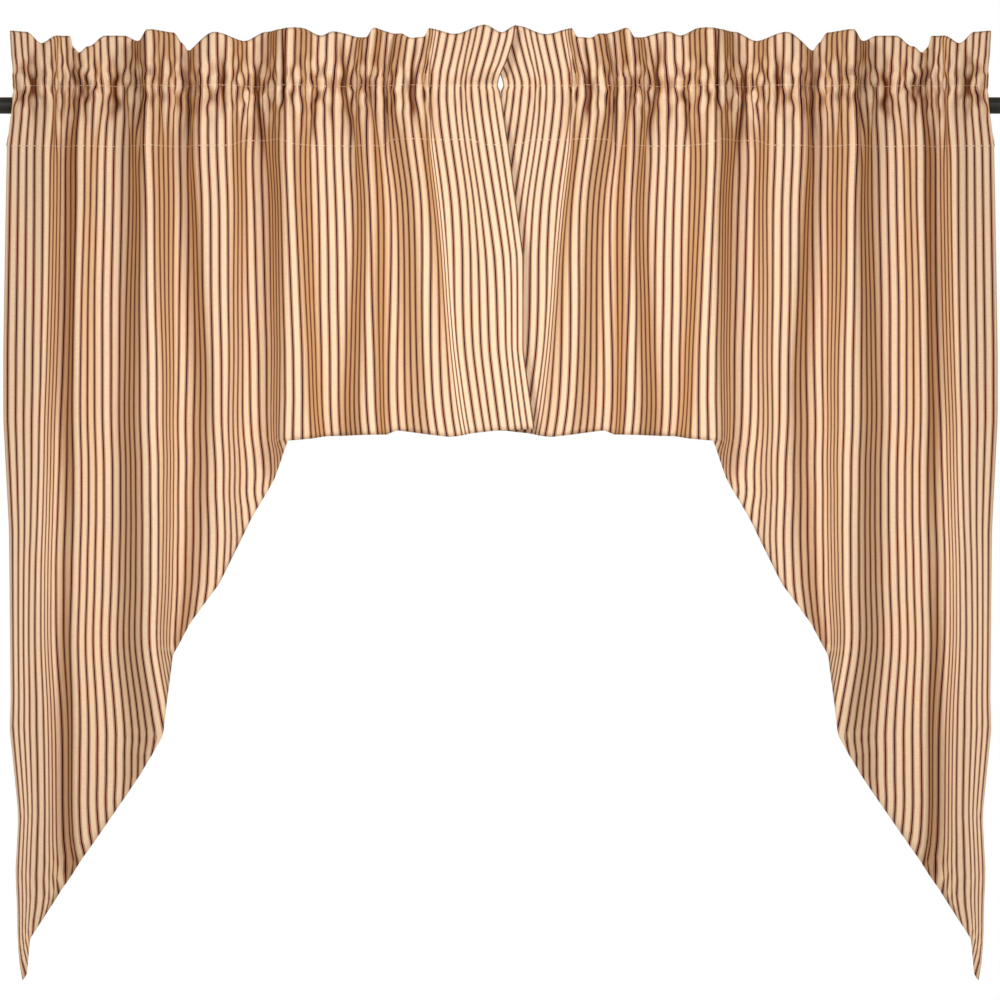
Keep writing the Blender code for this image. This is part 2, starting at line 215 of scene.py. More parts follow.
# Only the left panel's front layer laps over the middle along the pocket. The others end here.
POCKET_END = table(
    EdgePoint,
    (75, 20), (14, 2), (10, -0.6), (-41, -0.6), (-47, 12), (-60, 60),
)

DIAGONAL_EDGE = table(
    EdgePoint,
    (-323.6, -204), (-358.5, -217), (-399, -240.5), (-461.5, -270.5), (-499, -298.5), (-530, -316),
    (-606, -323.5), (-644, -346), (-753, -421), (-803, -453), (-842.5, -456),
)

HEADER_TOP = table(
    CrestPoint,
    (-472, 71), (-456, 70), (-442, 59), (-426, 67), (-415, 67), (-412, 55), (-406, 50), (-397, 56),
    (-381, 67), (-363, 67), (-348, 61), (-338, 71), (-315, 70), (-307, 60), (-302, 53), (-275, 69),
    (-248, 62), (-226, 71), (-191, 73), (-173, 67), (-162, 71), (-129, 64), (-123, 73), (-97, 68),
    (-86, 63), (-74, 64), (-70, 73), (-45, 68), (-18, 76), (0, 69), (14, 76),
)

LOWER_STITCH = table(
    CrestPoint,
    (-475, -40), (-300, -40), (-262, -40), (-246, -34), (-212, -34), (-198, -39), (-115, -40),
    (-104, -34), (-30, -34), (-14, -39), (10, -40),
)

HEM = table(
    HemPoint,
    (0, -842.5), (14.5, -702.7), (21.5, -625.5), (23.5, -575.4), (30.5, -505.9), (35.5, -440.3),
    (39.5, -388.3), (43.5, -349.7), (47, -323.6), (53, -319), (63, -317.5), (64.2, -313.5),
    (70.8, -320), (77.8, -314), (83.6, -312),
)


def linear_colour(code: str) -> tuple[float, float, float, float]:
    """Turn an sRGB hex colour to linear.

    Args:
        code: The colour as six hex digits after a hash sign.

    Returns:
        Linear red, green and blue, and an alpha of 1.
    """
    parts = [int(code[place : place + 2], 16) / 255 for place in (1, 3, 5)]
    linear = [p / 12.92 if p <= 0.04045 else ((p + 0.055) / 1.055) ** 2.4 for p in parts]
    return linear[0], linear[1], linear[2], 1.0


def connect(tree: NodeTree, node: Node, **links: object) -> None:
    """Fill a node's inputs.

    Args:
        tree: The node's tree.
        node: The node.
        **links: A value or an output socket for each input, named as the input with underscores.
            Inputs that share a name are given by number, as in_0 and in_1.
    """
    for name, value in links.items():
        key = int(name[3:]) if name.startswith("in_") else name.replace("_", " ")
        if isinstance(value, NodeSocket):
            tree.links.new(value, node.inputs[key])
        else:
            node.inputs[key].default_value = value


def add_node(tree: NodeTree, kind: str, settings: dict | None = None, **links: object) -> Node:
    """Add one shader node with its settings and links.

    Args:
        tree: The material's or the world's node tree.
        kind: The node's type name, without the ShaderNode that starts it.
        settings: Attributes of the node to set, by name.
        **links: What its inputs take, as for connect.

    Returns:
        The new node.
    """
    node = tree.nodes.new(f"ShaderNode{kind}")
    for name, value in (settings or {}).items():
        setattr(node, name, value)
    connect(tree, node, **links)
    return node


def new_material(name: str) -> tuple[Material, NodeTree, Node]:
    """Start a material with a bare Principled shader.

    Args:
        name: The material's name.

    Returns:
        The material, its node tree and its Principled node.
    """
    material = bpy.data.materials.new(name)
    material.use_nodes = True
    return material, material.node_tree, material.node_tree.nodes["Principled BSDF"]


def smooth(share: ndarray | float) -> ndarray:
    """Ease a share from 0 to 1, held outside that range."""
    held = np.clip(share, 0.0, 1.0)
    return held * held * (3.0 - 2.0 * held)


def read_edge(edge: tuple[EdgePoint, ...], heights: ndarray) -> ndarray:
    """Read an edge's places across at some heights, both in metres."""
    levels, places = np.array(edge).T * MM
    return np.interp(-heights, -levels, places)


def read_line(line: tuple[CrestPoint, ...], across: ndarray) -> ndarray:
    """Read a line's heights at some places across.

    Args:
        line: The line's points, from left to right.
        across: Places across, in metres.

    Returns:
        Heights in metres.
    """
    places, heights = np.array(line).T * MM
    left = np.clip(np.searchsorted(places, across) - 1, 0, len(places) - 2)
    share = smooth((across - places[left]) / (places[left + 1] - places[left]))
    return heights[left] + share * (heights[left + 1] - heights[left])


@dataclass(frozen=True)
class TickingFinish:
    """Yarn-dyed cotton ticking in a plain weave, matt, with a faint bloom of loose fibre.

    The stripes are woven in, so they follow the cloth's own UV map, which is laid out in metres.
    """

    ground: str = "#F4D8B7"
    gap: str = "#C08C74"
    hairline: str = "#BE9478"
    band: str = "#340414"
    # Painted shade: this colour is multiplied in on the steep flanks of folds, and the next, darker one in
    # the gathers' creases.
    flank_shade: str = "#E0C49C"
    crease_shade: str = "#8A5A3C"
    pitch: float = 9 * MM
    band_width: float = 1.3 * MM
    gap_width: float = 0.7 * MM
    hairline_width: float = 0.75 * MM
    # Real yarns lie about 0.45 mm apart, too fine to show, so the weave is drawn twice as coarse.
    yarn_pitch: float = 0.9 * MM
    # Slubs, the thick places of the spun yarn, are a few millimetres long.
    slub_length: float = 7 * MM
    slub_dark: float = 0.93
    slub_light: float = 1.04
    weave_strength: float = 0.22
    weave_height: float = 0.25 * MM
    stripe_softness: float = 0.012
    roughness: float = 0.86
    specular: float = 0.15
    sheen: float = 0.06
    sheen_roughness: float = 0.5

    def make(self, name: str) -> Material:
        """Make the ticking's material.

        Args:
            name: The material's name.

        Returns:
            The material.
        """
        material, tree, shader = new_material(name)
        flat = add_node(tree, "UVMap", {"uv_map": "flat_cloth"})
        across, along = add_node(tree, "SeparateXYZ", Vector=flat.outputs[0]).outputs[:2]
        stripes = self.stripe_colour(tree, across)
        slubs = self.slub_share(tree, across, along)
        colour = add_node(tree, "Mix", MULTIPLY, in_0=1.0, in_6=stripes, in_7=slubs)
        connect(
            tree,
            shader,
            Base_Color=self.paint_flank_and_crease_shade(tree, colour.outputs[2]),
            Normal=self.weave_bump(tree, across, along),
            Roughness=self.roughness,
            Sheen_Weight=self.sheen,
            Sheen_Roughness=self.sheen_roughness,
            Sheen_Tint=linear_colour(self.ground),
            Specular_IOR_Level=self.specular,
        )
        return material

    def stripe_colour(self, tree: NodeTree, across: NodeSocket) -> NodeSocket:
        """Colour the woven stripes: a wine band between two paler gaps, and a hairline beyond each.

        Args:
            tree: The material's nodes.
            across: Flat place across, in metres.

        Returns:
            The colour.
        """
        away = across
        steps = (("DIVIDE", self.pitch), ("FRACT", 0.0), ("SUBTRACT", 0.5), ("ABSOLUTE", 0.0))
        for operation, number in steps:
            away = add_node(tree, "Math", {"operation": operation}, in_0=away, in_1=number).outputs[0]
        ramp = add_node(tree, "ValToRGB", Fac=away)
        tones = [linear_colour(code) for code in (self.band, self.gap, self.hairline, self.ground)]
        stops = ramp.color_ramp.elements
        stops[0].color, stops[1].color = tones[0], tones[-1]
        end = 0.0
        for place, width in enumerate((0.5 * self.band_width, self.gap_width, self.hairline_width)):
            end += width / self.pitch
            stops.new(end - self.stripe_softness).color = tones[place]
            stops.new(end + self.stripe_softness).color = tones[place + 1]
        return ramp.outputs[0]

    def paint_flank_and_crease_shade(self, tree: NodeTree, colour: NodeSocket) -> NodeSocket:
        """Paint shade into the cloth's colour on a fold's steep flanks, and darker painted shade in the
        creases that the gathers crowd.

        Args:
            tree: The material's nodes.
            colour: The cloth's colour.

        Returns:
            The colour with the painted shade.
        """
        # Painted shade: first on steep flanks, then darker where the gathers' creases sink in.
        for name, tone in (("steepness", self.flank_shade), ("crease_shade", self.crease_shade)):
            share = add_node(tree, "Attribute", {"attribute_name": name}).outputs["Fac"]
            tinted = add_node(tree, "Mix", MULTIPLY, in_0=share, in_6=colour, in_7=linear_colour(tone))
            colour = tinted.outputs[2]
        return colour

    def slub_share(self, tree: NodeTree, across: NodeSocket, along: NodeSocket) -> NodeSocket:
        """Vary the tone a little along the weft yarns, as their slubs do.

        Args:
            tree: The material's nodes.
            across: Flat place across, in metres.
            along: Flat place along, in metres.

        Returns:
            A grey that multiplies the colour.
        """
        wide = add_node(tree, "Math", {"operation": "DIVIDE"}, in_0=across, in_1=self.slub_length)
        thin = add_node(tree, "Math", {"operation": "DIVIDE"}, in_0=along, in_1=self.yarn_pitch)
        place = add_node(tree, "CombineXYZ", X=wide.outputs[0], Y=thin.outputs[0])
        slub = add_node(tree, "TexNoise", Vector=place.outputs[0], Scale=1.0, Detail=2.0)
        dark, light = self.slub_dark, self.slub_light
        tone = add_node(
            tree, "MapRange", Value=slub.outputs[0], From_Min=0.3, From_Max=0.7, To_Min=dark, To_Max=light
        )
        return tone.outputs[0]

    def weave_bump(self, tree: NodeTree, across: NodeSocket, along: NodeSocket) -> NodeSocket:
        """Raise the warp and weft yarns of the plain weave.

        Args:
            tree: The material's nodes.
            across: Flat place across, in metres.
            along: Flat place along, in metres.

        Returns:
            The bumped normal.
        """
        turns = math.pi / self.yarn_pitch
        waves = []
        for place in (across, along):
            angle = add_node(tree, "Math", {"operation": "MULTIPLY"}, in_0=place, in_1=turns)
            waves.append(add_node(tree, "Math", {"operation": "SINE"}, in_0=angle.outputs[0]).outputs[0])
        height = add_node(tree, "Math", {"operation": "MULTIPLY"}, in_0=waves[0], in_1=waves[1]).outputs[0]
        strength, distance = self.weave_strength, self.weave_height
        return add_node(tree, "Bump", Strength=strength, Distance=distance, Height=height).outputs[0]


@dataclass(frozen=True)
class ThreadFinish:
    """Spun polyester sewing thread, pale cream, with a faint shine."""

    colour: str = "#F4E3CC"
    shadow: str = "#DDBFA0"
    # Real plies turn every 0.6 mm or so, too fine to show, so the tones are drawn coarser: they
    # repeat about every 7.5 mm, which is 0.63 of this length.
    tone_length: float = 12 * MM
    roughness: float = 0.6

    def make(self, name: str) -> Material:
        """Make the thread's material, in two tones for its plies: the thread's colour, and painted shade
        in the grooves between the plies.

        Args:
            name: The material's name.

        Returns:
            The material.
        """
        material, tree, shader = new_material(name)
        place = add_node(tree, "TexCoord")
        slanting = {"bands_direction": "DIAGONAL"}
        ply = add_node(
            tree, "TexWave", slanting, Vector=place.outputs["Object"], Scale=1.0 / self.tone_length
        )
        tones = [linear_colour(code) for code in (self.shadow, self.colour)]
        colour = add_node(tree, "Mix", BLEND, in_0=ply.outputs[1], in_6=tones[0], in_7=tones[1])
        connect(tree, shader, Base_Color=colour.outputs[2], Roughness=self.roughness)
        return material


@dataclass(frozen=True)
class PaintedSteelFinish:
    """Drawn steel tube under a satin near-black stove enamel, with a fine orange-peel surface."""

    colour: str = "#2B2D2A"
    worn: str = "#3A3C38"
    peel_size: float = 1.2 * MM
    peel_strength: float = 0.12
    peel_height: float = 0.1 * MM
    # Rubbed places are about 36 mm across, so 28 of them fit in a metre.
    rub_scale: float = 28.0
    rub_start: float = 0.5
    rub_full: float = 0.72
    roughness: float = 0.38
    smoother: float = 0.06
    rougher: float = 0.08

    def make(self, name: str) -> Material:
        """Make the enamel's material.

        Args:
            name: The material's name.

        Returns:
            The material.
        """
        material, tree, shader = new_material(name)
        place = add_node(tree, "TexCoord")
        spot = place.outputs["Object"]
        peel = add_node(tree, "TexNoise", Vector=spot, Scale=1.0 / self.peel_size, Detail=2.0)
        rub = add_node(tree, "TexNoise", Vector=spot, Scale=self.rub_scale, Detail=4.0)
        amount = rub.outputs[0]
        share = add_node(tree, "MapRange", Value=amount, From_Min=self.rub_start, From_Max=self.rub_full)
        tones = [linear_colour(code) for code in (self.colour, self.worn)]
        colour = add_node(tree, "Mix", BLEND, in_0=share.outputs[0], in_6=tones[0], in_7=tones[1])
        least, most = self.roughness - self.smoother, self.roughness + self.rougher
        rough = add_node(tree, "MapRange", Value=amount, To_Min=least, To_Max=most)
        strength, distance = self.peel_strength, self.peel_height
        bump = add_node(tree, "Bump", Strength=strength, Distance=distance, Height=peel.outputs[0])
        links = {"Base_Color": colour.outputs[2], "Roughness": rough.outputs[0], "Normal": bump.outputs[0]}
        connect(tree, shader, **links)
        return material


@dataclass
class HungFolds:
    """The folds of a hung panel: where each yarn lies across and back at each height."""

    stripe: float = 9 * MM
    stripes: float = 83.6
    corner_stripe: float = 47.0
    corner_height: float = -323.6 * MM
    tip_height: float = -842.5 * MM
    level_span: float = 4.5
    calm_from: float = 68.0
    calm_to: float = 73.0
    calm: float = 0.85
    upper_stitch: float = 18 * MM
    pucker_gain: float = 4.4
    gather_span: float = 1.6
    ripple_pitch: float = 1.9
    ripple_depth: float = 4.8 * MM
    # The ripples' reach above and below the stitches is in millimetres, as a pucker's is.
    ripple_above: float = 8.0
    ripple_below: float = 17.0
    # Size, turn from stripe to stripe and start of each wave by which the ripples wander.
    ripple_wander: tuple[tuple[float, ...], ...] = ((0.9, 0.83, 1.0), (0.6, 0.37, 0.0))
    gather_calm: float = 0.7
    gather_calm_lag: float = 3.0
    gather_calm_span: float = 4.0
    crumple_pitch: float = 1.37
    crumple_depth: float = 2.0 * MM
    crumple_height: float = 26 * MM
    crumple_reach: float = 21 * MM
    crumple_wander: float = 1.7
    crumple_wander_turn: float = 0.61
    # Each wave's share of the turn, the climb and the wander, and its start.
    crumple_waves: tuple[tuple[float, ...], ...] = ((1.0, 1.0, 1.0, 0.0), (0.79, -0.83, 1.3, 2.0))
    yarn_step: float = 0.125
    height_step: float = 4 * MM
    top: float = 80 * MM
    # Heights in mm at which FOLDS gives a flank's degrees, and those for its yarn.
    levels: tuple[float, ...] = (44, -14, -90, -188, -284, -430, -600, -760)
    drops: tuple[float, ...] = (-90, -284, -575)
    ease: float = 20 * MM
    edge_reach: float = 3.0
    narrowest_tip: float = 0.5
    flank_flat: float = 0.3
    steepest: float = 84.0
    steepest_fold: float = 70.0
    yarns: ndarray = field(init=False)
    heights: ndarray = field(init=False)
    across: ndarray = field(init=False)
    back: ndarray = field(init=False)
    relief: ndarray = field(init=False)
    angle: ndarray = field(init=False)

    def __post_init__(self) -> None:
        """Work the folds out once on an even lattice of yarns and heights."""
        self.yarns = np.linspace(0.0, self.stripes, int(self.stripes / self.yarn_step) + 1)
        count = int((self.top - self.tip_height) / self.height_step) + 2
        self.heights = self.top - self.height_step * np.arange(count)
        folded = self.fold_angles()
        steepest = math.radians(self.steepest)
        self.angle = np.clip(folded + self.gathers(), -steepest, steepest)
        self.across = self.fit_across(self.run(np.cos(folded)))
        self.across += self.local_part(self.run(np.cos(self.angle) - np.cos(folded)), self.gather_span)
        self.back = self.level_out(self.run(np.sin(folded)))
        self.relief = self.local_part(self.run(np.sin(self.angle) - np.sin(folded)), self.gather_span)
        self.angle = np.arctan2(np.sin(self.angle) * self.depth_kept(), np.cos(self.angle))

    def run(self, rates: ndarray) -> ndarray:
        """Add rates up along each row, from 0 at the outer edge."""
        step = self.stripe * (self.yarns[1] - self.yarns[0])
        sums = np.cumsum(0.5 * (rates[:, 1:] + rates[:, :-1]) * step, axis=1)
        return np.hstack((np.zeros((len(rates), 1)), sums))

    def local_part(self, rows: ndarray, span: float) -> ndarray:
        """Keep what changes from yarn to yarn and drop the slow drift.

        Args:
            rows: A row of values for each height.
            span: Stripes over which the drift is averaged.

        Returns:
            The local part.
        """
        step = self.yarns[1] - self.yarns[0]
        reach = int(BELL_REACH * span / step)
        bell = np.exp(-0.5 * (np.arange(-reach, reach + 1) * step / span) ** 2)
        bell /= bell.sum()
        padded = np.pad(rows, ((0, 0), (reach, reach)), mode="reflect", reflect_type="odd")
        return rows - np.array([np.convolve(row, bell, "valid") for row in padded])

    def fold_angles(self) -> ndarray:
        """Slope of the cloth at each height and yarn.

        Returns:
            Angles in radians, a row for each height.
        """
        angles = np.zeros((len(self.heights), len(self.yarns)))
        levels = -np.array(self.levels) * MM
        drops = -np.array(self.drops) * MM
        for fold in FOLDS:
            degrees = np.interp(-self.heights, levels, fold[4:])
            centre = np.interp(-self.heights, drops, fold[:3])
            away = np.abs(self.yarns[None, :] - centre[:, None]) / fold.reach
            eased = np.clip((away - self.flank_flat) / (1.0 - self.flank_flat), 0.0, 1.0)
            angles += np.radians(degrees)[:, None] * 0.5 * (1.0 + np.cos(math.pi * eased))
        limit = math.radians(self.steepest_fold)
        return self.soften(np.clip(angles, -limit, limit))

    def soften(self, rows: ndarray) -> ndarray:
        """Ease values that change from height to height, with a bell curve.

        Args:
            rows: A row of values for each height.

        Returns:
            The eased values.
        """
        reach = int(BELL_REACH * self.ease / self.height_step)
        steps = np.arange(-reach, reach + 1) * self.height_step / self.ease
        bell = np.exp(-0.5 * steps**2) / np.exp(-0.5 * steps**2).sum()
        ends = ((reach, reach),) + ((0, 0),) * (rows.ndim - 1)
        padded = np.pad(rows, ends, mode="reflect", reflect_type="odd")
        return sum(share * padded[place : place + len(rows)] for place, share in enumerate(bell))

    def gathers(self) -> ndarray:
        """Slope that the gathering threads add at each height and yarn, in radians."""
        over = (self.heights - self.upper_stitch)[:, None] / MM
        forward = np.zeros((len(self.heights), len(self.yarns)))
        for pucker in PUCKERS:
            centre = pucker.stripe - pucker.lean * over
            ridge = np.exp(-(((self.yarns[None, :] - centre) / pucker.width) ** 2))
            reach = np.where(over > 0, pucker.above, pucker.below)
            forward += self.pucker_gain * pucker.forward * MM * ridge * np.exp(-((over / reach) ** 2))
        wander = sum(size * np.sin(self.yarns * turn + start) for size, turn, start in self.ripple_wander)
        ripple = np.cos(2 * math.pi * self.yarns / self.ripple_pitch + wander)
        reach = np.where(over > 0, self.ripple_above, self.ripple_below)
        forward += self.ripple_depth * ripple[None, :] * np.exp(-np.abs(over) / reach)
        forward += self.crumple(over * MM)
        step = self.stripe * (self.yarns[1] - self.yarns[0])
        late = self.yarns - self.calm_from - self.gather_calm_lag
        calm = 1.0 - self.gather_calm * smooth(late / self.gather_calm_span)
        return -np.arctan(np.gradient(forward, step, axis=1)) * calm

    def crumple(self, over: ndarray) -> ndarray:
        """Small slanting creases that cross each other beside the upper stitches.

        Args:
            over: Heights above the upper stitches, in metres, one to a row.

        Returns:
            How far forward they stand.
        """
        turn = 2 * math.pi * self.yarns[None, :] / self.crumple_pitch
        climb = 2 * math.pi * over / self.crumple_height
        wander = self.crumple_wander * np.sin(self.yarns * self.crumple_wander_turn)[None, :]
        waves = 0.0
        for turns, climbs, wanders, start in self.crumple_waves:
            waves += np.cos(turns * turn + climbs * climb + wanders * wander + start)
        return self.crumple_depth * waves * np.exp(-((over / self.crumple_reach) ** 2))

    def level_out(self, back: ndarray) -> ndarray:
        """Take the slow drift out of the folds, so that the sheet keeps to one upright plane."""
        return self.local_part(back, self.level_span) * self.depth_kept()

    def depth_kept(self) -> ndarray:
        """Share of the folds' depth that is kept at each yarn: little of it at the lap."""
        return 1.0 - self.calm * smooth((self.yarns - self.calm_from) / (self.calm_to - self.calm_from))

    def fit_across(self, widths: ndarray) -> ndarray:
        """Fit the folded widths between the panel's edges at each height.

        Args:
            widths: How far across each yarn lies from the outer edge.

        Returns:
            Places across in the frame.
        """
        low = self.heights < self.corner_height
        outer = read_edge(OUTER_EDGE, self.heights)
        inner = read_edge(INNER_EDGE, self.heights)
        guide = np.where(low, read_edge(DIAGONAL_EDGE, self.heights), read_edge(CORNER_YARN, self.heights))
        guide_yarns = np.maximum([self.hem_stripe(height) for height in self.heights], self.narrowest_tip)
        guide_widths = self.pick(widths, guide_yarns)
        outside = self.soften((guide - outer) / guide_widths)
        rest = np.where(low, 1.0, widths[:, -1] - guide_widths)
        inside = (inner - guide) / rest
        last = int(np.argmax(low)) - 1
        inside = self.soften(np.where(low, inside[last], inside))
        beyond = np.maximum(widths - guide_widths[:, None], 0.0) * ~low[:, None]
        fitted = self.soften(outer)[:, None] + outside[:, None] * (widths - beyond)
        fitted += inside[:, None] * beyond
        outer_yarns, inner_yarns = np.zeros(len(low)), np.full(len(low), self.stripes)
        for edge, yarns in ((outer, outer_yarns), (guide, guide_yarns), (inner, inner_yarns)):
            short = edge - self.pick(fitted, yarns)
            away = np.abs(self.yarns[None, :] - yarns[:, None])
            fitted += short[:, None] * np.exp(-away / self.edge_reach)
        return fitted

    def pick(self, rows: ndarray, yarns: ndarray) -> ndarray:
        """Read one yarn, its own for each height, from each row of a lattice."""
        return np.array([np.interp(yarn, self.yarns, row) for yarn, row in zip(yarns, rows)])

    def hem_stripe(self, height: float) -> float:
        """The yarn that ends on the diagonal at a height."""
        stripes, heights = np.array([point for point in HEM if point.stripe <= self.corner_stripe]).T
        return float(np.interp(height, heights * MM, stripes))

    def hem_height(self, yarns: ndarray) -> ndarray:
        """Height in metres of the lower edge where each yarn ends."""
        stripes, heights = np.array(HEM).T
        return np.interp(yarns, stripes, heights * MM)

    def read(self, lattice: ndarray, yarns: ndarray, heights: ndarray) -> ndarray:
        """Read a lattice between its yarns and heights.

        Args:
            lattice: Values on the lattice.
            yarns: Flat places across, in stripes.
            heights: Heights in metres, as many as the yarns.

        Returns:
            A value for each pair.
        """
        row = np.clip((self.top - heights) / self.height_step, 0.0, len(self.heights) - PAST_LAST_CELL)
        column = np.clip(yarns / (self.yarns[1] - self.yarns[0]), 0.0, len(self.yarns) - PAST_LAST_CELL)
        above, left = row.astype(int), column.astype(int)
        down, right = row - above, column - left
        upper = lattice[above, left] * (1.0 - right) + lattice[above, left + 1] * right
        lower = lattice[above + 1, left] * (1.0 - right) + lattice[above + 1, left + 1] * right
        return upper * (1.0 - down) + lower * down


@dataclass
class SwagPanel:
    """One gathered panel: a single sheet whose top is turned to the back and stitched twice."""

    side: Side
    folds: HungFolds
    finish: TickingFinish
    thread: ThreadFinish
    thickness: float = 0.5 * MM
    columns: int = 350
    back_rows: int = 14
    header_rows: int = 16
    pocket_rows: int = 30
    body_rows: int = 60
    body_spacing: float = 1.15
    layer_fade: float = 0.26
    lowest_stitch: float = -40 * MM
    rod_radius: float = 8 * MM
    rod_clearance: float = 0.95 * MM
    layer_offset: float = 0.9 * MM
    header_length: float = 60 * MM
    header_lean: float = 0.15
    header_level: float = 62 * MM
    header_curl: float = 1.3
    header_closing: float = 30.0
    parted_height: float = 7 * MM
    fold_half_depth: float = 9.5 * MM
    pocket_fold_share: float = 0.45
    rod_softness: float = 4 * MM
    gather_depth: float = 2 * MM
    lap_offset: float = 6 * MM
    lap_yarns: float = 9.0
    lap_forward: float = 0.5
    # Sinking of the gathers' relief at which the painted shade in the creases is full.
    full_crease_shade_depth: float = 4.5 * MM
    puff_depth: float = 2.6 * MM
    puff_near: float = 3.5 * MM
    puff_far: float = 12 * MM
    puff_ripple: float = 0.5
    lap_hem: float = 1.2 * MM
    lap_start: float = -64 * MM
    lap_full: float = -8 * MM
    lap_rise: float = 16 * MM
    lap_drop: float = 30 * MM
    stitch_length: float = 3.0 * MM
    stitch_gap: float = 0.6 * MM
    stitch_width: float = 0.8 * MM
    stitch_rise: float = 0.4
    points: ndarray = field(init=False)
    yarns: ndarray = field(init=False)

    @property
    def name(self) -> str:
        """Name of the panel's cloth."""
        return f"ticking_{self.side.label}"

    @property
    def upper_row(self) -> int:
        """Row of the upper line of stitches, on the front."""
        return self.back_rows + 2 * self.header_rows

    @property
    def lower_row(self) -> int:
        """Row of the lower line of stitches, on the front."""
        return self.upper_row + self.pocket_rows

    @property
    def rows(self) -> int:
        """Number of rows of faces along the sheet."""
        return self.lower_row + self.body_rows

    def lay_out(self) -> None:
        """Work out where each crossing of a column and a row hangs."""
        self.yarns = np.linspace(0.0, self.folds.stripes, self.columns + 1)
        stitch = self.stitch_heights()
        back = self.pocket(stitch, self.back_rows, Layer.BACK)[::-1]
        header_back = self.header(Layer.BACK)[1:]
        header_front = self.header(Layer.FRONT)[::-1][1:]
        front = self.pocket(stitch, self.pocket_rows, Layer.FRONT)[1:]
        body = self.body(stitch)[1:]
        self.points = np.array([*back, *header_back, *header_front, *front, *body])

    def stitch_heights(self) -> ndarray:
        """Height of the lower line of stitches at each yarn."""
        level = np.full(len(self.yarns), self.lowest_stitch)
        return read_line(LOWER_STITCH, self.folds.read(self.folds.across, self.yarns, level))

    def hang(
        self, heights: ndarray, layer: float, spread: ndarray | float, lean: ndarray | float = 0.0
    ) -> ndarray:
        """Place every yarn at a row of heights.

        Args:
            heights: A height for each yarn.
            layer: Minus one in front, plus one at the turned back, and 0 for a single layer.
            spread: Share of the way that the two layers have moved apart for the rod.
            lean: How far back the cloth leans.

        Returns:
            A point for each yarn.
        """
        folds = self.folds
        across = folds.read(folds.across, self.yarns, heights)
        back = folds.read(folds.back, self.yarns, heights) - self.hang_forward
        angle = folds.read(folds.angle, self.yarns, heights)
        near = layer * self.layer_offset
        across = across - near * np.sin(angle)
        edge = read_edge(INNER_EDGE, heights)
        laps_over = self.side is Side.LEFT and layer < 0
        limit = edge if laps_over else np.minimum(edge, read_edge(POCKET_END, heights))
        over = across - limit + self.lap_hem
        held = limit - self.lap_hem * np.exp(-np.maximum(over, 0.0) / self.lap_hem)
        across = np.where((over > 0) & (heights > folds.corner_height), held, across)
        back = back + near * np.cos(angle) + lean
        back = back + self.side.lap * self.lap_offset * self.lap_share(across, heights)
        if layer:
            way = math.copysign(1.0, layer)
            back = back + self.around_rod(back, way) * spread + way * self.puff(heights)
        back = back + folds.read(folds.relief, self.yarns, heights)
        if laps_over:
            nearness = smooth((self.yarns - folds.stripes + self.lap_yarns) / self.lap_yarns)
            back = back - self.lap_forward * self.lap_offset * nearness * spread
        return np.stack((across, back, heights), axis=1)

    def puff(self, heights: ndarray) -> ndarray:
        """How far the cloth puffs out beside the upper stitches, more on the ripples' crests."""
        over = heights - self.folds.upper_stitch
        swell = (1.0 - np.exp(-((over / self.puff_near) ** 2))) * np.exp(-np.abs(over) / self.puff_far)
        ripple = np.cos(2 * math.pi * self.yarns / self.folds.ripple_pitch)
        return self.puff_depth * swell * (1.0 + self.puff_ripple * ripple)

    @property
    def clear_of_rod(self) -> float:
        """Least distance of a layer's middle from the rod's axis."""
        return self.rod_radius + self.rod_clearance + self.gather_depth

    @property
    def hang_forward(self) -> float:
        """How far the cloth's middle plane hangs forward of the rod's axis."""
        return self.rod_radius + self.rod_clearance + self.fold_half_depth

    def around_rod(self, back: ndarray, layer: float) -> ndarray:
        """How far each yarn moves to clear the rod: only the deepest folds in front, every yarn behind.

        Args:
            back: How far back each yarn lies.
            layer: Minus one in front, plus one at the back.

        Returns:
            Distances back, forward ones less than nought.
        """
        if layer < 0:
            short = self.clear_of_rod + back
            return -0.5 * (short + np.sqrt(short**2 + self.rod_softness**2))
        behind_crest = np.maximum(back + self.hang_forward + self.fold_half_depth, 0.0)
        return self.clear_of_rod + self.pocket_fold_share * behind_crest - back

    def lap_share(self, across: ndarray, heights: ndarray) -> ndarray:
        """Share of the lap's offset near the inner edge.

        Args:
            across: Places across.
            heights: Heights.

        Returns:
            A share for each place.
        """
        nearness = smooth((across - self.lap_start) / (self.lap_full - self.lap_start))
        above = smooth((heights - self.folds.upper_stitch) / self.lap_rise)
        below = smooth((-self.rod_radius - heights) / self.lap_drop)
        return nearness * (above + below)

    def pocket(self, stitch: ndarray, rows: int, layer: Layer) -> list[ndarray]:
        """Hang one layer of the rod pocket, from the upper stitches down to the lower ones.

        Args:
            stitch: Height of the lower line of stitches at each yarn.
            rows: Number of rows of faces.
            layer: The layer.

        Returns:
            A row of points for each level.
        """
        top = self.folds.upper_stitch
        hung = []
        for share in np.linspace(0.0, 1.0, rows + 1):
            heights = top + share * (stitch - top)
            over = smooth((top - heights) / (top - self.parted_height))
            under = smooth((heights - stitch) / (-self.rod_radius - stitch))
            hung.append(self.hang(heights, layer.value, over * under))
        return hung

    def header(self, layer: Layer) -> list[ndarray]:
        """Hang one layer of the header, from the upper stitches to its ruffled top.

        Args:
            layer: The layer.

        Returns:
            A row of points for each level.
        """
        folds = self.folds
        level = np.full(len(self.yarns), self.header_level)
        rise = read_line(HEADER_TOP, folds.read(folds.across, self.yarns, level)) - folds.upper_stitch
        sway = self.header_lean * np.sqrt(np.maximum(self.header_length**2 - rise**2, 0.0))
        hung = []
        for share in np.linspace(0.0, 1.0, self.header_rows + 1):
            closed = 0.0 if share == 1.0 else min(1.0, math.sqrt((1.0 - share) * self.header_closing))
            heights = folds.upper_stitch + share * rise
            hung.append(self.hang(heights, layer.value * closed, 0.0, sway * share**self.header_curl))
        return hung

